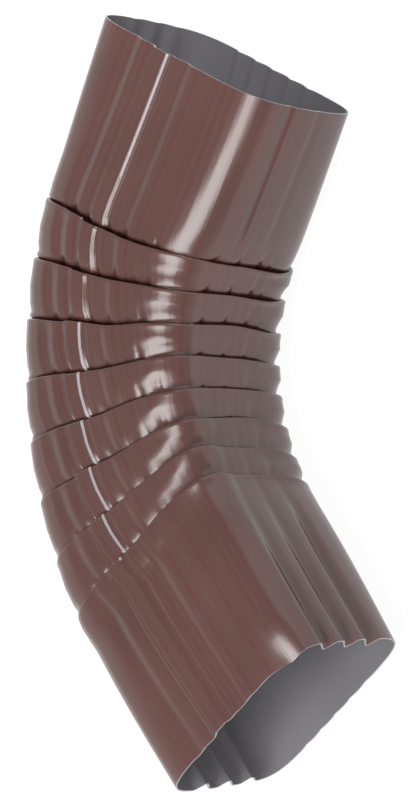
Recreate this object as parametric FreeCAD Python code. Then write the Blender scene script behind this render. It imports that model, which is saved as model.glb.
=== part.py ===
import FreeCAD, Part
import math
import os

# A pleated downspout elbow, folded from one painted aluminium sheet that a
# lock seam closes into a rectangular pipe. It lies on its far wide face.
# +Y runs along the object to the plain inlet mouth, +X points from the heel
# to the throat of the bend, and +Z is square to the plane of the bend.

# Sheet
wall = 0.5

# Sections of the pipe, outside. Power is the roundness of the corners: 2 is
# an ellipse, and a large value is a sharp rectangle.
inlet_width = 82.5
inlet_depth = 46.0
inlet_power = 4.7
neck_width = 76.6
neck_depth = 56.0
neck_power = 4.3
waist_width = 73.4
waist_depth = 53.2
waist_power = 4.3
tuck_width = 72.0
tuck_depth = 51.6
tuck_power = 4.4
lip_width = 76.4
lip_depth = 58.4
lip_power = 4.1
shoulder_width = 77.4
shoulder_depth = 59.0
shoulder_power = 4.0
flute_width = 76.0
flute_depth = 54.0
flute_power = 4.3
outlet_width = 72.8
outlet_depth = 46.4
outlet_power = 5.6

# Bend
fold_count = 8
fold_angle = 8.52
bend_radius = 99.8
inlet_leg = 56.0
outlet_leg = 59.8
flute_start = 22.0
flute_middle = 42.0

# Folds: each lower ring ends in a lip outside the ring above it, which is
# tucked inside. The tuck is deep at the throat and none at the heel.
neck_rise = 3.2
waist_rise = 0.9
tuck_drop = 3.5
tuck_shift = -0.3
lip_shift = 0.3
heel_gap = 0.4
heel_recess = 1.4
lip_rise = 2.2
shoulder_drop = 3.0

# Where these change, as shares of the width from the heel to the throat
heel_end = 0.2
climb_start = 0.6
lip_fade_start = 0.3
lip_fade_end = 0.9
throat_start = 0.5

# Grooves run the whole length: five on each wide face, three on each narrow
groove_pitch = 9.2
groove_half_width = 3.5
wide_groove_count = 5
narrow_groove_count = 3
leg_groove_depth = 1.2
ring_throat_depth = 0.6
neck_groove_depth = 1.6
outlet_wide_depth = 0.5
outlet_flute_depth = 3.0

# Middle of each group of grooves along the sheet, from the middle of its face
heel_offset = -3.6
near_offset = 0.6
throat_offset = -3.4
far_offset = 2.6

# Lock seam, on the near wide face, measured from the middle of its grooves
seam_start = -6.1
seam_width = 7.1
seam_height = 1.0
seam_edge = 0.35
seam_inside = 0.5

# Points round each corner and each outline, and how far a sharp fold reaches
corner_points = 4
samples = 720
sharpest_mitre = 3.0


def smooth(low, high, value):
    """Ease from 0 at low to 1 at high."""
    share = min(1.0, max(0.0, (value - low) / (high - low)))
    return share * share * (3.0 - 2.0 * share)


def section_outline(width, depth, power):
    """Points of a rounded rectangle from the heel over +Z, with their run."""
    points = []
    run = [0.0]
    for index in range(samples + 1):
        turn = math.pi - 2.0 * math.pi * index / samples
        across = math.cos(turn)
        up = math.sin(turn)
        size = abs(2.0 * across / width) ** power + abs(2.0 * up / depth) ** power
        reach = size ** (-1.0 / power)
        points.append((reach * across, reach * up))
        if index:
            run.append(run[-1] + math.dist(points[-1], points[-2]))
    return points, run


def point_at(points, run, share):
    """Point at a share of the way round the outline."""
    target = (share % 1.0) * run[-1]
    low = 0
    high = len(run) - 1
    while high - low > 1:
        middle = (low + high) // 2
        if run[middle] <= target:
            low = middle
        else:
            high = middle
    part = (target - run[low]) / (run[high] - run[low])
    start = points[low]
    end = points[high]
    return (start[0] + part * (end[0] - start[0]), start[1] + part * (end[1] - start[1]))


# The profile is a list of points along the sheet. Each one has its place,
# its share of a groove's depth, its share of the seam's height and whether
# it is on a narrow face.
def groove_points(centre, narrow):
    """One groove: down a flank to its floor and up the other flank."""
    return [(centre - groove_half_width, 0.0, 0.0, narrow),
            (centre, 1.0, 0.0, narrow),
            (centre + groove_half_width, 0.0, 0.0, narrow)]


def group_points(middle, count, narrow):
    """A group of evenly spaced grooves about its middle."""
    points = []
    for index in range(count):
        centre = middle + (index - (count - 1) / 2.0) * groove_pitch
        points += groove_points(centre, narrow)
    return points


def add_seam(points, middle):
    """Lay the raised seam over the grooves that it covers."""
    start = middle + seam_start
    end = start + seam_width
    kept = [point for point in points if not start - seam_edge < point[0] < end + seam_edge]
    share = 1.0 if abs(end - middle) < groove_half_width else 0.0
    seam = [(start - seam_edge, 0.0, 0.0, False),
            (start, 0.0, 1.0, False),
            (end, 0.0, 1.0, False),
            (end + seam_edge, share, 0.0, False)]
    return sorted(kept + seam)


def corner_between(first, last):
    """Evenly spaced points round a plain corner."""
    step = (last - first) / (corner_points + 1)
    return [(first + step * (index + 1), 0.0, 0.0, False) for index in range(corner_points)]


def sheet_profile(girth):
    """All the profile's points in order, once round from the heel."""
    near_middle = girth / 4.0 + near_offset
    throat_middle = girth / 2.0 + throat_offset
    far_middle = girth * 3.0 / 4.0 + far_offset
    groups = [group_points(heel_offset, narrow_groove_count, True),
              add_seam(group_points(near_middle, wide_groove_count, False), near_middle),
              group_points(throat_middle, narrow_groove_count, True),
              group_points(far_middle, wide_groove_count, False)]
    nexts = groups[1:] + [group_points(heel_offset + girth, narrow_groove_count, True)]
    profile = []
    for group, following in zip(groups, nexts):
        profile += group + corner_between(group[-1][0], following[0][0])
    return profile


UP = FreeCAD.Vector(0, 0, 1)
GIRTH = section_outline(neck_width, neck_depth, neck_power)[1][-1]
PROFILE = sheet_profile(GIRTH)


def edge_normal(start, end):
    """Unit normal to the left of an edge, which is outward here."""
    length = math.dist(start, end)
    return ((start[1] - end[1]) / length, (end[0] - start[0]) / length)


def mitre(first, second):
    """Sum of two unit normals, as long as a mitred offset of 1 needs."""
    scale = 1.0 + first[0] * second[0] + first[1] * second[1]
    reach = math.sqrt(2.0 / scale)
    scale *= max(1.0, reach / sharpest_mitre)
    return ((first[0] + second[0]) / scale, (first[1] + second[1]) / scale)


def outward(points, index):
    """Outward direction of a closed polygon at a point, longer where it turns."""
    before = points[index - 1]
    here = points[index]
    after = points[(index + 1) % len(points)]
    return mitre(edge_normal(before, here), edge_normal(here, after))


class Station:
    """One ring of points of the sheet's middle, in a plane across the pipe."""

    def __init__(self, plane, section, depths, along, recess):
        self.origin, self.across, self.axis = plane
        width, depth, power, shift = section
        outline, run = section_outline(width - wall, depth - wall, power)
        base = [point_at(outline, run, place / GIRTH) for place, _, _, _ in PROFILE]
        self.points = []
        self.along = []
        for index, (_, groove, _, narrow) in enumerate(PROFILE):
            point = base[index]
            normal = outward(base, index)
            share = 0.5 + point[0] / width
            cut = groove * depths(share, narrow) + recess(share)
            self.points.append((point[0] + shift - normal[0] * cut, point[1] - normal[1] * cut))
            self.along.append(along(share))

    def middle(self, index):
        """Middle of the sheet at one point of the profile."""
        point = self.points[index]
        return self.origin + self.across * point[0] + UP * point[1] + self.axis * self.along[index]

    def normal(self, index):
        """Outward direction in the section plane."""
        side = outward(self.points, index)
        return self.across * side[0] + UP * side[1]


def bend_plane(angle):
    """Plane across the pipe at an angle of the bend, measured from its middle."""
    turn = math.radians(angle)
    across = FreeCAD.Vector(math.cos(turn), -math.sin(turn), 0)
    axis = FreeCAD.Vector(math.sin(turn), math.cos(turn), 0)
    centre = FreeCAD.Vector(bend_radius, 0, 0)
    return centre - across * bend_radius, across, axis


def fold_place(fold):
    """Angle of a fold's plane."""
    return ((fold_count - 1) / 2.0 - fold) * fold_angle


def leg_plane(fold, distance):
    """Plane across a straight leg, at a distance from its end fold."""
    side = 1.0 if fold == 0 else -1.0
    origin, _, _ = bend_plane(fold_place(fold))
    _, across, axis = bend_plane(side * fold_count * fold_angle / 2.0)
    return origin + axis * side * distance, across, axis


# How deep a groove is, from its share of the width and the face that it is on
def leg_depths(share, narrow):
    return leg_groove_depth


def ring_depths(share, narrow):
    return ring_throat_depth if narrow and share > throat_start else leg_groove_depth


def neck_depths(share, narrow):
    return neck_groove_depth


def lip_depths(share, narrow):
    return ring_throat_depth * (1.0 - smooth(lip_fade_start, lip_fade_end, share))


def outlet_depths(share, narrow):
    return outlet_flute_depth if narrow else outlet_wide_depth


def flute_depths(share, narrow):
    return (leg_groove_depth + outlet_depths(share, narrow)) / 2.0


# How far a station's points are moved along the pipe, or into it
def level(share):
    return 0.0


def climb(share):
    """A fold climbs towards the inlet near the throat."""
    return lip_rise * smooth(climb_start, 1.0, share)


def neck_along(share):
    return neck_rise + climb(share)


def waist_along(share):
    return waist_rise + climb(share)


def tuck_along(share):
    return -tuck_drop * smooth(0.0, 1.0, share)


def lip_along(share):
    return climb(share) - heel_gap * (1.0 - smooth(0.0, heel_end, share))


def lip_recess(share):
    return heel_recess * (1.0 - smooth(0.0, heel_end, share))


def shoulder_along(share):
    return climb(share) - shoulder_drop


def fold_stations(fold):
    """The turns of the sheet at one fold, from the inlet's side."""
    plane = bend_plane(fold_place(fold))
    neck = (neck_width, neck_depth, neck_power, 0.0)
    waist = (waist_width, waist_depth, waist_power, 0.0)
    tuck = (tuck_width, tuck_depth, tuck_power, tuck_shift)
    lip = (lip_width, lip_depth, lip_power, lip_shift)
    shoulder = (shoulder_width, shoulder_depth, shoulder_power, 0.0)
    return [Station(plane, neck, ring_depths, neck_along, level),
            Station(plane, waist, neck_depths, waist_along, level),
            Station(plane, tuck, neck_depths, tuck_along, level),
            Station(plane, lip, lip_depths, lip_along, lip_recess),
            Station(plane, shoulder, ring_depths, shoulder_along, level)]


def inlet_stations():
    """The plain inlet's rim."""
    rim = (inlet_width, inlet_depth, inlet_power, 0.0)
    return [Station(leg_plane(0, inlet_leg), rim, leg_depths, level, level)]


def outlet_stations():
    """The outlet leg, where the flutes of its narrow faces deepen to the rim."""
    last = fold_count - 1
    start = (flute_width, flute_depth, flute_power, 0.0)
    rim = (outlet_width, outlet_depth, outlet_power, 0.0)
    middle = tuple((first + second) / 2.0 for first, second in zip(start, rim))
    return [Station(leg_plane(last, flute_start), start, leg_depths, level, level),
            Station(leg_plane(last, flute_middle), middle, flute_depths, level, level),
            Station(leg_plane(last, outlet_leg), rim, outlet_depths, level, level)]


def all_stations():
    """Every station from the inlet's rim to the outlet's."""
    stations = inlet_stations()
    for fold in range(fold_count):
        stations += fold_stations(fold)
    return stations + outlet_stations()


def slope_normals(stations, row, index):
    """Normals of the sheet's runs beside a point, as lengths along and out."""
    station = stations[row]
    here = station.middle(index)
    normal = station.normal(index)
    unit = normal / normal.Length
    normals = []
    for other in (row - 1, row + 1):
        if 0 <= other < len(stations):
            step = (stations[other].middle(index) - here) * (other - row)
            along = step.dot(station.axis)
            out = step.dot(unit)
            length = math.hypot(along, out)
            normals.append((out / length, -along / length))
    return normals


def skin_point(stations, row, index, side):
    """A point of the outer (side 1) or inner (side -1) face of the sheet."""
    station = stations[row]
    normals = slope_normals(stations, row, index)
    along, out = mitre(normals[0], normals[-1])
    raised = PROFILE[index][2] * (seam_height if side > 0 else -seam_inside)
    half = side * wall / 2.0
    return station.middle(index) + station.axis * along * half + station.normal(index) * (out * half + raised)


def skin(stations, side):
    """Rows of points of one face of the sheet."""
    return [[skin_point(stations, row, index, side) for index in range(len(PROFILE))]
            for row in range(len(stations))]


def skin_faces(upper, lower):
    """Flat three-sided faces between two neighbouring rows of points."""
    faces = []
    count = len(upper)
    for index in range(count):
        following = (index + 1) % count
        for corners in ((upper[index], upper[following], lower[following]),
                        (upper[index], lower[following], lower[index])):
            faces.append(Part.Face(Part.makePolygon([*corners, corners[0]])))
    return faces


def make_elbow():
    """Join the outer face, the rims and the inner face into one solid."""
    stations = all_stations()
    rows = skin(stations, 1) + skin(stations, -1)[::-1]
    faces = []
    for index, row in enumerate(rows):
        faces += skin_faces(row, rows[(index + 1) % len(rows)])
    sheet = Part.makeCompound(faces)
    sheet.sewShape()
    return Part.Solid(sheet.Shells[0])


def stand_at_origin(shape):
    """Lay the shape on the floor, with the middle of its box over the origin."""
    box = shape.BoundBox
    shape.translate(FreeCAD.Vector(-box.Center.x, -box.Center.y, -box.ZMin))


def main():
    os.makedirs("parts", exist_ok=True)
    elbow = make_elbow()
    stand_at_origin(elbow)
    elbow.exportStep("parts/elbow.step")
    print("elbow", elbow.isValid(), round(elbow.Volume), elbow.BoundBox, round(GIRTH, 2))


main()
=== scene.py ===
import math

import bpy
import numpy as np
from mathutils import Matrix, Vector


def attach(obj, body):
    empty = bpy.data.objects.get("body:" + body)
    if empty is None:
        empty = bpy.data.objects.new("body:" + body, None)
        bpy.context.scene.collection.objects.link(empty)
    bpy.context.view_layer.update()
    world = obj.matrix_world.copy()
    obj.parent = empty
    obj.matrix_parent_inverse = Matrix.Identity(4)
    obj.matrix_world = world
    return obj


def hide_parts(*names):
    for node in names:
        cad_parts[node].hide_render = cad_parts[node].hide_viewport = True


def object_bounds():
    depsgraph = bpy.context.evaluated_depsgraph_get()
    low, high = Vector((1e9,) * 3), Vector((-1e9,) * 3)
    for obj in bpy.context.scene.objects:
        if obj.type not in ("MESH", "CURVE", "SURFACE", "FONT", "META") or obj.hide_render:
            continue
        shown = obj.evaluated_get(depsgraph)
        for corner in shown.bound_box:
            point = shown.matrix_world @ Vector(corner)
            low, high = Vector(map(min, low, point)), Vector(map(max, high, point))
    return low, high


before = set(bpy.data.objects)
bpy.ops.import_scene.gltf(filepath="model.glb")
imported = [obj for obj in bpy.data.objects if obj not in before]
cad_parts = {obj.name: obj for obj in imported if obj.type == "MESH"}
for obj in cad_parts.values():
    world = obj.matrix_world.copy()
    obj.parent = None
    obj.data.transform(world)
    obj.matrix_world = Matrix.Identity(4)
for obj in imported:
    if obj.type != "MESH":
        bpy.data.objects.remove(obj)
cad_low, cad_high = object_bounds()
bpy.ops.object.select_all(action="DESELECT")


# The elbow is one sheet of aluminium, painted brown outside and grey inside.
# It is grooved flat, rolled to a rectangular pipe, closed with a lock seam
# down one wide face and then crimped into eight folds that bend it.

# Sizes are in millimetres. X goes to the throat of the bend, Y to the inlet
# and Z out of the near wide face, from the middle of the bend
wall = 0.5
girth = 235.2
fold_count = 8
fold_angle = math.radians(8.52)
bend_radius = 99.8

# A form is a rounded rectangle across the pipe: its width from heel to throat,
# its depth, its squareness and how much its faces are crowned
inlet_form = (82.6, 46.8, 7.5, 0.11)
leg_form = (77.4, 54.6, 5.4, 0.1)
ring_form = (76.9, 58.2, 4.6, 0.06)
foot_form = (76.2, 56.5, 3.9, 0.05)
neck_form = (75.4, 54.3, 5.2, 0.05)
tuck_form = (73.0, 51.8, 5.0, 0.03)
lip_form = (76.6, 58.5, 4.5, 0.06)
flute_form = (76.0, 54.2, 4.8, 0.03)
outlet_form = (72.8, 46.6, 6.4, 0.03)

# Places on the sheet run round it from the middle of the heel over the near face
groove_pitch = 8.6
near_middle = girth / 4.0 + 0.6
throat_middle = girth / 2.0 - 3.4
far_middle = girth * 3.0 / 4.0 + 2.0
heel_middle = girth - 3.6
seam_left = near_middle - 6.1
seam_right = near_middle + 1.0

# Stretches of the sheet from the seam on, each with its count of columns
stretches = ((3.0, 10), (4.2, 5), (2.6, 13), (39.0, 48), (29.0, 50), (11.0, 10), (85.0, 49), (61.4, 55))
sheet_start = seam_left - 1.8
places = [sheet_start]
for stretch, count in stretches:
    places += list(places[-1] + stretch * np.arange(1, count + 1) / count)
places = np.array(places)
places[-1] = sheet_start + girth
round_places = places % girth


def ease(low, high, value):
    """0 below low, 1 above high and smooth between them."""
    share = np.clip((value - low) / (high - low), 0.0, 1.0)
    return share * share * (3.0 - 2.0 * share)


def face_between(start, full_start, full_end, end):
    """1 on a part of the sheet, eased at both its ends."""
    return ease(start, full_start, round_places) * (1.0 - ease(full_end, end, round_places))


def away(middle):
    """Distance of each column from a place, the short way round the sheet."""
    return (places - middle + girth / 2.0) % girth - girth / 2.0


def swelling(middle, half):
    """A soft hump about a place."""
    return np.exp(-(away(middle) / half) ** 2)


def grooves(middle, count, half, pitch=groove_pitch):
    """Rounded grooves side by side, 1 at their floors."""
    deep = 0.0
    for step in range(count):
        off = away(middle + (step - (count - 1) / 2.0) * pitch)
        deep = deep + 0.5 + 0.5 * np.cos(np.pi * np.clip(off / half, -1.0, 1.0))
    return deep


def pinch(place, left, right):
    """A sharp dent that deepens from the left and ends short at its right."""
    off = away(place)
    deepening = np.clip(1.0 + off / left, 0.0, 1.0) * (off <= 0.0)
    ending = np.clip(1.0 - off / right, 0.0, 1.0) * (off > 0.0)
    return deepening + ending


def by_place(*points):
    """A value that changes smoothly round the sheet."""
    spots = [point[0] for point in points]
    values = [point[1] for point in points]
    smooth = 0.0
    for shift in np.linspace(-3.5, 3.5, 9):
        smooth = smooth + np.interp(places + shift, spots, values, period=girth) / 9.0
    return smooth


# The lock seam is a raised band that falls sharply at its right edge, with two
# fine lines pressed beside it
seam_off = away(seam_right)
on_seam = ease(-7.5, -6.7, seam_off) * (seam_off < 0.3)
seam_fall = 1.0 - np.clip(seam_off + 1.0, 0.0, 1.0)
seam_relief = 0.85 * on_seam * seam_fall + (0.25 * swelling(50.9, 0.3) + 0.25 * swelling(52.7, 0.3))

# Five grooves run down each wide face, but not under the seam, and three down
# each narrow one
face_grooves = grooves(near_middle, 5, 4.6) - 0.55 * grooves(near_middle + 2.0 * groove_pitch, 1, 4.6)
face_grooves = face_grooves + grooves(far_middle, 5, 3.0)
face_grooves = face_grooves * (1.0 - ease(-9.5, -7.5, seam_off) * (1.0 - ease(0.0, 1.5, seam_off)))
throat_grooves = grooves(throat_middle, 3, 2.6)
heel_grooves = grooves(heel_middle, 3, 3.8)

# How far each fold opens round the sheet, and where its edge is pinched
opening = by_place((0, 0.3), (20, 0.35), (32, 0.6), (50, 0.85), (60, 1.0), (80, 1.0),
                   (86, 0.3), (92, 0.15), (99, 0.3), (103, 0.9), (126, 1.0), (134, 0.3),
                   (150, 0.3), (160, 0.8), (190, 0.8), (200, 0.4))
pinches = 0.0
for strength, place, left, right in (
    (0.75, 104.4, 2.4, 0.6), (0.5, 113.7, 2.4, 0.6), (0.5, 122.5, 2.4, 0.6), (0.45, 126.6, 1.4, 0.6),
    (0.8, 83.6, 1.9, 0.8), (0.5, 53.4, 1.2, 0.9), (0.3, 60.9, 1.0, 0.9), (0.4, 68.9, 1.3, 0.9),
    (0.4, 78.0, 1.3, 0.9), (0.5, 42.0, 1.5, 1.0), (0.5, 165.0, 2.0, 1.2), (0.5, 178.0, 2.0, 1.2),
):
    pinches = pinches + strength * pinch(place, left, right)

# Parts of the sheet where the press worked it more
near_face = face_between(24.0, 40.0, 82.0, 98.0)
throat_face = face_between(113.0, 126.0, 126.0, 138.0)
far_throat = face_between(112.0, 134.0, 136.0, 165.0)
far_face = face_between(138.0, 146.0, 204.0, 214.0)
near_corner = swelling(96.0, 6.0)
throat_corner = swelling(100.5, 5.5)

# A form is drawn with this many points before the sheet's columns are set on it
section_points = 2881


def section(form, slide):
    """Points and outward normals of a form at the sheet's columns."""
    width = form[0] - wall
    depth = form[1] - wall
    power = form[2]
    crown = form[3]
    turn = np.pi - np.linspace(0.0, 2.0 * np.pi, section_points)
    across = np.cos(turn)
    up = np.sin(turn)
    reach = (np.abs(2.0 * across / width) ** power + np.abs(2.0 * up / depth) ** power) ** (-1.0 / power)
    x = reach * across * (1.0 - crown * (2.0 * reach * up / depth) ** 2)
    z = reach * up * (1.0 - crown * (up > 0.0) * (2.0 * reach * np.maximum(across, 0.0) / width) ** 2)
    run = np.concatenate(([0.0], np.cumsum(np.hypot(np.diff(x), np.diff(z)))))
    target = ((places + slide * near_face) % girth) / girth * run[-1]
    normal_x = np.interp(target, run, -np.gradient(z, run))
    normal_z = np.interp(target, run, np.gradient(x, run))
    return np.interp(target, run, x), np.interp(target, run, z), normal_x, normal_z


def blend(first, second, share):
    """A form between two others."""
    return tuple(one + (two - one) * share for one, two in zip(first, second))


def control_row(origin, across, axis, form, move, deep, slide=0.0):
    """A row of the sheet: a form on a plane, moved along the pipe and set in."""
    x, z, normal_x, normal_z = section(form, slide)
    out = seam_relief - deep
    x = x + normal_x * out
    z = z + normal_z * out
    row = np.empty((len(places), 3))
    row[:, 0] = origin[0] + across[0] * x + axis[0] * move
    row[:, 1] = origin[1] + across[1] * x + axis[1] * move
    row[:, 2] = z
    return row


def bend_plane(angle):
    """A plane across the bend: its middle, the way to the throat and the way to the inlet."""
    across = np.array((math.cos(angle), -math.sin(angle)))
    axis = np.array((math.sin(angle), math.cos(angle)))
    origin = np.array((bend_radius, 0.0)) - across * bend_radius
    return origin, across, axis


def leg_plane(side, distance):
    """A plane across a leg: side 1 is the inlet's and -1 the outlet's."""
    origin = bend_plane(side * (fold_count - 1) / 2.0 * fold_angle)[0]
    across, axis = bend_plane(side * fold_count / 2.0 * fold_angle)[1:]
    return origin + axis * side * distance, across, axis


# A fold's path through the sheet, from the ring above to the ring below. The
# columns are the form, the place along the pipe and the depth at the heel,
# the same where the fold is a full tuck, how much its opening and its pinches
# deepen it, the depth of the grooves, the flare at the throat, the slide of the
# grooves over the near face, and how far the near corner swells out
fold_path = (
    (ring_form, (6.6, 0.0), (5.4, 0.0), 0.0, 0.0, 1.0, 0.0, 0.5, 0.1),
    (foot_form, (3.4, -0.5), (2.6, 0.0), 0.1, 0.35, 1.05, 0.0, 0.8, 0.0),
    (foot_form, (1.7, -0.6), (1.2, 0.2), 0.35, 1.0, 1.15, 0.0, 0.9, 0.0),
    (neck_form, (0.8, -0.5), (0.45, 0.25), 0.8, 1.2, 1.2, 0.0, 0.9, 0.0),
    (neck_form, (0.35, 0.4), (-0.5, 0.9), 1.0, 1.0, 1.0, 0.0, 0.5, 0.0),
    (tuck_form, (0.1, -0.5), (-3.4, 0.4), 0.5, 0.0, 0.9, 0.0, 0.0, 0.0),
    (lip_form, (-0.1, 1.6), (-1.2, 0.75), 0.1, 0.0, 0.5, 0.3, 0.0, 0.6),
    (lip_form, (-0.25, 1.2), (0.0, 0.6), 0.0, 0.0, 0.35, 0.8, -0.5, 0.9),
    (lip_form, (-0.4, 0.6), (0.35, 0.25), 0.0, 0.0, 0.35, 1.3, -0.6, 1.0),
    (lip_form, (-0.6, 0.0), (0.0, -0.1), 0.0, 0.0, 0.4, 1.2, -0.7, 1.0),
    (lip_form, (-1.1, -0.1), (-0.7, -0.03), 0.0, 0.0, 0.55, 0.4, -0.7, 0.95),
    (lip_form, (-2.4, 0.0), (-2.2, 0.08), 0.0, 0.0, 0.8, -0.15, -0.6, 0.75),
    (ring_form, (-5.0, 0.1), (-4.0, -0.05), 0.0, 0.0, 1.0, -0.15, -0.4, 0.4),
)

# Steps of the mesh at each row of a fold, the rows that wave a little, and how
# far each fold opens, counted from the inlet
fold_steps = (1, 1, 2, 2, 2, 3, 2, 1, 2, 2, 2, 1, 1)
waved_rows = (0, 11, 12)
fold_openness = (0.8, 1.05, 1.1, 0.85, 0.65, 0.5, 0.35, 0.3)

# The two folds in the middle have a dent over their first rows
dented_folds = (4, 5)
dent_depths = (0.5, 0.9, 0.4)
dent = pinch(90.4, 4.0, 0.7)


def fold_rows(fold):
    """The control rows of one fold, counted from the inlet."""
    plane = bend_plane(((fold_count - 1) / 2.0 - fold) * fold_angle)
    x = section(ring_form, 0.0)[0]
    share = 0.5 + x / (ring_form[0] - wall)
    tucked = ease(0.02, 0.3, share)
    climb = 2.2 * ease(0.6, 1.0, share) - 1.3 * far_throat
    wander = 0.2 * np.sin(places / 11.0 + 1.9 * fold) + 0.12 * np.sin(places / 4.7 + 4.1 * fold)
    waves = 0.12 * np.sin(places / 7.3 + 2.3 * fold)
    rows = []
    for index, (form, heel, full, opened, pinched, grooved, flare, slide, swollen) in enumerate(fold_path):
        drop = heel[0] * (1.0 - tucked) + full[0] * tucked
        if form is tuck_form:
            drop = heel[0] + (full[0] - heel[0]) * ease(0.0, 0.8, share)
        move = drop + climb + wander
        deep = heel[1] + (full[1] - heel[1]) * tucked
        deep = deep + 1.2 * opened * opening * fold_openness[fold] * tucked
        deep = deep + 1.3 * pinched * pinches * min(fold_openness[fold], 1.0)
        deep = deep + grooved * (0.8 * face_grooves + 0.25 * throat_grooves + 0.9 * heel_grooves)
        deep = deep - flare * throat_face - waves * (index in waved_rows)
        if fold in dented_folds and index < len(dent_depths):
            deep = deep + dent_depths[index] * dent
        swell = 0.42 * fold * swollen * ease(2.0, 5.0, fold)
        deep = deep - 0.2 * fold * throat_corner - swell * near_corner
        if fold == 0 and index < 3:
            form = blend(leg_form, form, 0.25 + 0.25 * index)
        rows.append(control_row(*plane, form, move, deep, slide))
    return rows


# The inlet's leg changes from its flat mouth to the rings' form. The throat's
# face has two shallow lines, and the far face's grooves stand sharper
upper_leg = []
for distance, share in ((55.85, 0.0), (50.0, 0.1), (40.0, 0.3), (30.0, 0.52), (21.0, 0.75), (13.0, 0.95)):
    form = blend(inlet_form, leg_form, share)
    deep = (1.0 + 0.5 * far_face) * face_grooves - 0.5 * far_face + 0.9 * heel_grooves
    deep = deep + 0.7 * grooves(109.0, 1, 2.2) + 0.3 * grooves(120.5, 1, 2.4)
    upper_leg.append(control_row(*leg_plane(1, distance), form, 0.0, deep, 0.4 * share))
upper_steps = (1, 1, 1, 1, 2, 2)

# The outlet's leg narrows to its mouth, so that it slips into the next pipe,
# and its narrow faces gather into flutes. A corner of the rim is bent in
lower_leg = []
for distance, share, flute in ((9.0, 0.0, 0.3), (16.0, 0.0, 0.5), (24.0, 0.1, 0.85), (31.0, 0.25, 1.35),
                               (38.0, 0.42, 1.8), (45.0, 0.6, 2.2), (51.0, 0.78, 2.55), (55.5, 0.89, 2.8),
                               (59.8, 1.0, 3.0)):
    form = blend(flute_form, outlet_form, share)
    deep = (0.85 - 0.3 * share) * face_grooves + flute * grooves(heel_middle + 1.8 * share, 3, 3.9, 10.2)
    deep = deep + flute * grooves(throat_middle + 2.2 * share, 3, 3.9, 9.6)
    deep = deep - (1.4 - 1.1 * share) * throat_corner
    deep = deep + 0.9 * (1.0 - share) * ease(10.0, 24.0, distance) * grooves(throat_middle + 10.4, 1, 3.0)
    deep = deep + 3.4 * max(0.0, distance / 12.0 - 3.98) ** 2 * swelling(91.5, 5.5)
    lower_leg.append(control_row(*leg_plane(-1, distance), form, 0.0, deep, -0.4 * (1.0 - share)))
lower_steps = (2, 2, 2, 2, 2, 1, 1, 1, 1)


def smoothed(rows, steps):
    """A quadratic spline down the sheet through its control rows."""
    path = [rows[0]]
    for index in range(1, len(rows) - 1):
        start = rows[0] if index == 1 else (rows[index - 1] + rows[index]) / 2.0
        end = rows[-1] if index == len(rows) - 2 else (rows[index] + rows[index + 1]) / 2.0
        for step in range(1, steps[index] + 1):
            share = step / steps[index]
            path.append((1 - share) ** 2 * start + 2 * share * (1 - share) * rows[index] + share ** 2 * end)
    return np.array(path)


controls = list(upper_leg)
steps = list(upper_steps)
for fold in range(fold_count):
    controls += fold_rows(fold)
    steps += fold_steps
controls += lower_leg
steps += lower_steps
sheet_rows = smoothed(controls, steps)

across_count = len(places) - 1
down_count = len(sheet_rows) - 1
bpy.ops.mesh.primitive_grid_add(x_subdivisions=across_count, y_subdivisions=down_count, size=1.0)
elbow = bpy.context.object
elbow.name = "elbow_sheet"
flat = np.empty(len(elbow.data.vertices) * 3)
elbow.data.vertices.foreach_get("co", flat)
flat = flat.reshape(-1, 3)
column = np.rint((flat[:, 0] + 0.5) * across_count).astype(int)
row = np.rint((0.5 - flat[:, 1]) * down_count).astype(int)
elbow.data.vertices.foreach_set("co", (sheet_rows[row, column] / 1000.0).ravel())
elbow.data.update()
unrolled = elbow.data.uv_layers.active.data
for corner, loop in enumerate(elbow.data.loops):
    vertex = loop.vertex_index
    unrolled[corner].uv = (places[column[vertex]] / girth, row[vertex] / len(sheet_rows))

# A strip of the light edge paint along the seam's rounded right edge is a painted highlight. It runs by the
# inlet and from the third lip to the last fold, and a small spot of the same light paint sits on the third
# lip
face_column = np.array([column[list(face.vertices)].min() for face in elbow.data.polygons])
face_row = np.array([row[list(face.vertices)].min() for face in elbow.data.polygons])
face_off = (seam_off[face_column] + seam_off[face_column + 1]) / 2.0
inlet_rows = 5
lip_row = sum(upper_steps) + 2 * sum(fold_steps) + sum(fold_steps[:7])
last_fold_row = len(sheet_rows) - 17
lip_spot_place = 99.7
# The seam's painted highlight is a wider strip over the folds and a thinner one by the inlet
wide_seam_highlight = (face_off > -0.9) & (face_off < -0.3)
thin_seam_highlight = (face_off > -0.7) & (face_off < -0.3)
# The spot on the third lip is a small patch of the same light paint
lip_spot = (np.abs(places[face_column] - lip_spot_place) < 0.9) & (np.abs(face_row - lip_row) < 2)
seam_highlight_and_lip_spot = wide_seam_highlight & (face_row > lip_row) & (face_row < last_fold_row)
seam_highlight_and_lip_spot = seam_highlight_and_lip_spot | (thin_seam_highlight & (face_row < inlet_rows)) | lip_spot

bpy.ops.object.mode_set(mode="EDIT")
bpy.ops.mesh.select_all(action="SELECT")
bpy.ops.mesh.remove_doubles(threshold=0.00001)
bpy.ops.mesh.normals_make_consistent(inside=False)
bpy.ops.object.mode_set(mode="OBJECT")


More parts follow.
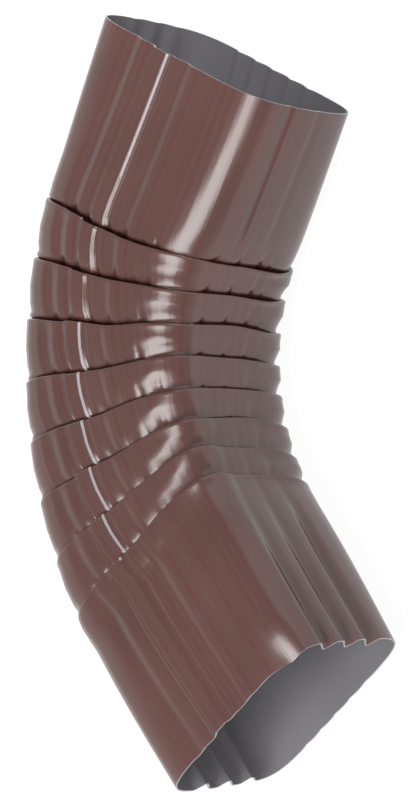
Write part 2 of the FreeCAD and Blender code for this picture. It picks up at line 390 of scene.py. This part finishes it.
def paint(name, colour, roughness, specular, bump):
    """Baked paint: a fine orange peel, faint drawn lines with a painted sheen along them and slow changes
    of tone.
    """
    material = bpy.data.materials.new(name)
    material.use_nodes = True
    nodes = material.node_tree.nodes
    links = material.node_tree.links
    shader = nodes["Principled BSDF"]
    shader.inputs["Specular IOR Level"].default_value = specular
    place = nodes.new("ShaderNodeTexCoord")

    # Slow changes of tone, which the gloss follows
    tone = nodes.new("ShaderNodeTexNoise")
    tone.inputs["Scale"].default_value = 38.0
    tone.inputs["Detail"].default_value = 5.0
    links.new(place.outputs["Object"], tone.inputs["Vector"])
    ramp = nodes.new("ShaderNodeValToRGB")
    ramp.color_ramp.elements[0].position = 0.3
    ramp.color_ramp.elements[0].color = (*[0.93 * value for value in colour], 1.0)
    ramp.color_ramp.elements[1].position = 0.7
    ramp.color_ramp.elements[1].color = (*[1.07 * value for value in colour], 1.0)
    links.new(tone.outputs["Fac"], ramp.inputs["Fac"])
    satin = nodes.new("ShaderNodeMapRange")
    satin.inputs["To Min"].default_value = roughness - 0.04
    satin.inputs["To Max"].default_value = roughness + 0.04
    links.new(tone.outputs["Fac"], satin.inputs["Value"])
    links.new(satin.outputs["Result"], shader.inputs["Roughness"])

    # Lines drawn along the sheet in relief. Along them the colour turns a little redder and greyer by
    # turns, a painted sheen of grey reflection
    stretch = nodes.new("ShaderNodeMapping")
    stretch.inputs["Scale"].default_value = (150.0, 1.2, 1.0)
    links.new(place.outputs["UV"], stretch.inputs["Vector"])
    drawn = nodes.new("ShaderNodeTexNoise")
    drawn.inputs["Scale"].default_value = 1.0
    drawn.inputs["Detail"].default_value = 3.0
    links.new(stretch.outputs["Vector"], drawn.inputs["Vector"])
    lines = nodes.new("ShaderNodeBump")
    lines.inputs["Strength"].default_value = 4.0 * bump
    lines.inputs["Distance"].default_value = 0.00006
    links.new(drawn.outputs["Fac"], lines.inputs["Height"])
    painted_sheen_streaks = nodes.new("ShaderNodeMapRange")
    painted_sheen_streaks.inputs["From Min"].default_value = 0.35
    painted_sheen_streaks.inputs["From Max"].default_value = 0.65
    painted_sheen_streaks.inputs["To Min"].default_value = 0.87
    painted_sheen_streaks.inputs["To Max"].default_value = 1.1
    links.new(drawn.outputs["Fac"], painted_sheen_streaks.inputs["Value"])
    sheen_wash = nodes.new("ShaderNodeHueSaturation")
    links.new(painted_sheen_streaks.outputs["Result"], sheen_wash.inputs["Saturation"])
    links.new(ramp.outputs["Color"], sheen_wash.inputs["Color"])
    links.new(sheen_wash.outputs["Color"], shader.inputs["Base Color"])

    # The fine orange peel
    peel = nodes.new("ShaderNodeTexNoise")
    peel.inputs["Scale"].default_value = 1500.0
    peel.inputs["Detail"].default_value = 2.0
    links.new(place.outputs["Object"], peel.inputs["Vector"])
    relief = nodes.new("ShaderNodeBump")
    relief.inputs["Strength"].default_value = bump
    relief.inputs["Distance"].default_value = 0.00005
    links.new(peel.outputs["Fac"], relief.inputs["Height"])
    links.new(lines.outputs["Normal"], relief.inputs["Normal"])
    links.new(relief.outputs["Normal"], shader.inputs["Normal"])
    return material


brown_paint = paint("brown_paint", (0.119, 0.048, 0.0405), 0.24, 0.85, 0.25)
backing_paint = paint("grey_backing_paint", (0.24, 0.23, 0.25), 0.42, 0.6, 0.25)
# The light edge paint colours the sheet's cut rims, and along the seam's edge it is a painted highlight
cut_edge_and_seam_highlight = paint("cut_edge_and_seam_highlight", (0.45, 0.41, 0.44), 0.35, 0.5, 0.1)
elbow.data.materials.clear()
for material in (brown_paint, backing_paint, cut_edge_and_seam_highlight, backing_paint):
    elbow.data.materials.append(material)
elbow.data.polygons.foreach_set("material_index", np.where(seam_highlight_and_lip_spot, 2, 0).astype(np.int32))

bpy.ops.object.modifier_add(type="SOLIDIFY")
solidify = elbow.modifiers[-1]
solidify.thickness = wall / 1000.0
solidify.offset = 0.0
solidify.material_offset = 1
solidify.material_offset_rim = 2
bpy.ops.object.modifier_apply(modifier=solidify.name)

# The finished sheet is centred in the box of the solid
points = np.empty(len(elbow.data.vertices) * 3)
elbow.data.vertices.foreach_get("co", points)
points = points.reshape(-1, 3)
shift = (cad_low + cad_high) / 2.0 - Vector((points.min(axis=0) + points.max(axis=0)) / 2.0)
bpy.ops.object.mode_set(mode="EDIT")
bpy.ops.mesh.select_all(action="SELECT")
bpy.ops.transform.translate(value=shift)
bpy.ops.object.mode_set(mode="OBJECT")
bpy.ops.object.shade_smooth_by_angle(angle=math.radians(50.0))

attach(elbow, "root")
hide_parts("elbow")


# The elbow lies on a white sweep of matt paper. It shows white to the camera
# and in the paint's gloss, and it keeps a part of the elbow's shadow.
bpy.ops.mesh.primitive_plane_add(size=6.0, location=(0.0, 0.0, cad_low.z))
floor = bpy.context.object
floor.name = "floor"
sweep = bpy.data.materials.new("white_sweep")
sweep.use_nodes = True
nodes = sweep.node_tree.nodes
links = sweep.node_tree.links
matt = nodes["Principled BSDF"]
matt.inputs["Base Color"].default_value = (0.45, 0.45, 0.45, 1.0)
matt.inputs["Roughness"].default_value = 0.9
white = nodes.new("ShaderNodeEmission")
white.inputs["Strength"].default_value = 1.35
ray = nodes.new("ShaderNodeLightPath")
seen = nodes.new("ShaderNodeMath")
seen.operation = "MAXIMUM"
seen_all = nodes.new("ShaderNodeMath")
seen_all.operation = "MAXIMUM"
portion = nodes.new("ShaderNodeMath")
portion.operation = "MULTIPLY"
portion.inputs[1].default_value = 0.7
mix = nodes.new("ShaderNodeMixShader")
links.new(ray.outputs["Is Camera Ray"], seen.inputs[0])
links.new(ray.outputs["Is Glossy Ray"], seen.inputs[1])
links.new(seen.outputs[0], seen_all.inputs[0])
links.new(ray.outputs["Is Transmission Ray"], seen_all.inputs[1])
links.new(seen_all.outputs[0], portion.inputs[0])
links.new(portion.outputs[0], mix.inputs["Fac"])
links.new(matt.outputs[0], mix.inputs[1])
links.new(white.outputs[0], mix.inputs[2])
links.new(mix.outputs[0], nodes["Material Output"].inputs["Surface"])
floor.data.materials.append(sweep)


# The room round the sweep is pale at the horizon and dim overhead, and a little
# paler on the heel's side than on the throat's.
world = bpy.data.worlds.new("studio")
world.use_nodes = True
nodes = world.node_tree.nodes
links = world.node_tree.links
direction = nodes.new("ShaderNodeTexCoord")
split = nodes.new("ShaderNodeSeparateXYZ")
lean = nodes.new("ShaderNodeMath")
lean.operation = "MULTIPLY_ADD"
lean.inputs[1].default_value = 0.3
height = nodes.new("ShaderNodeMapRange")
height.interpolation_type = "SMOOTHSTEP"
height.inputs["From Min"].default_value = 0.1
height.inputs["From Max"].default_value = 0.38
height.inputs["To Min"].default_value = 0.64
height.inputs["To Max"].default_value = 0.34
nodes["Background"].inputs["Color"].default_value = (1.0, 1.0, 1.0, 1.0)
links.new(direction.outputs["Generated"], split.inputs[0])
links.new(split.outputs["X"], lean.inputs[0])
links.new(split.outputs["Z"], lean.inputs[2])
links.new(lean.outputs[0], height.inputs["Value"])
links.new(height.outputs["Result"], nodes["Background"].inputs["Strength"])
bpy.context.scene.world = world


# The lamps are a large softbox over the outlet's end, a faint one from the
# throat's side, and two narrow ones that look into the mouths.
def aimed_lamp(kind, name, location, target, power):
    """A lamp that shines from its place to a target."""
    bpy.ops.object.light_add(type=kind, location=location)
    lamp = bpy.context.object
    lamp.name = name
    lamp.data.energy = power
    lamp.rotation_mode = "QUATERNION"
    lamp.rotation_quaternion = (Vector(location) - Vector(target)).to_track_quat("Z", "Y")
    return lamp


key = aimed_lamp("AREA", "key", (0.19, -0.5, 0.98), (0.0, 0.0, 0.03), 9.6)
fill = aimed_lamp("AREA", "fill", (0.86, 0.6, 0.48), (0.0, 0.0, 0.03), 2.3)
for softbox, width, length in ((key, 0.72, 0.64), (fill, 1.1, 1.0)):
    softbox.data.shape = "RECTANGLE"
    softbox.data.size = width
    softbox.data.size_y = length
inlet_lamp = aimed_lamp("SPOT", "inlet_lamp", (0.4, 0.56, 0.26), (0.0, 0.1, 0.01), 23.0)
outlet_lamp = aimed_lamp("SPOT", "outlet_lamp", (0.54, -0.48, 0.3), (0.0, -0.12, 0.01), 13.0)
for spot, cone in ((inlet_lamp, 10.5), (outlet_lamp, 6.5)):
    spot.data.spot_size = math.radians(cone)
    spot.data.spot_blend = 1.0
    spot.data.shadow_soft_size = 0.05


# The camera stands on the throat's side, above the elbow, and sees it upright
# with the inlet at the top.
bpy.ops.object.camera_add(location=(0.46245, -0.07576, 0.45631))
camera = bpy.context.object
camera.name = "camera"
camera.data.lens = 93.77
camera.data.sensor_width = 36.0
camera.data.clip_start = 0.01
camera.rotation_euler = (math.radians(1.610), math.radians(47.356), math.radians(-6.789))
bpy.context.scene.camera = camera
bpy.context.scene.view_settings.view_transform = "Standard"
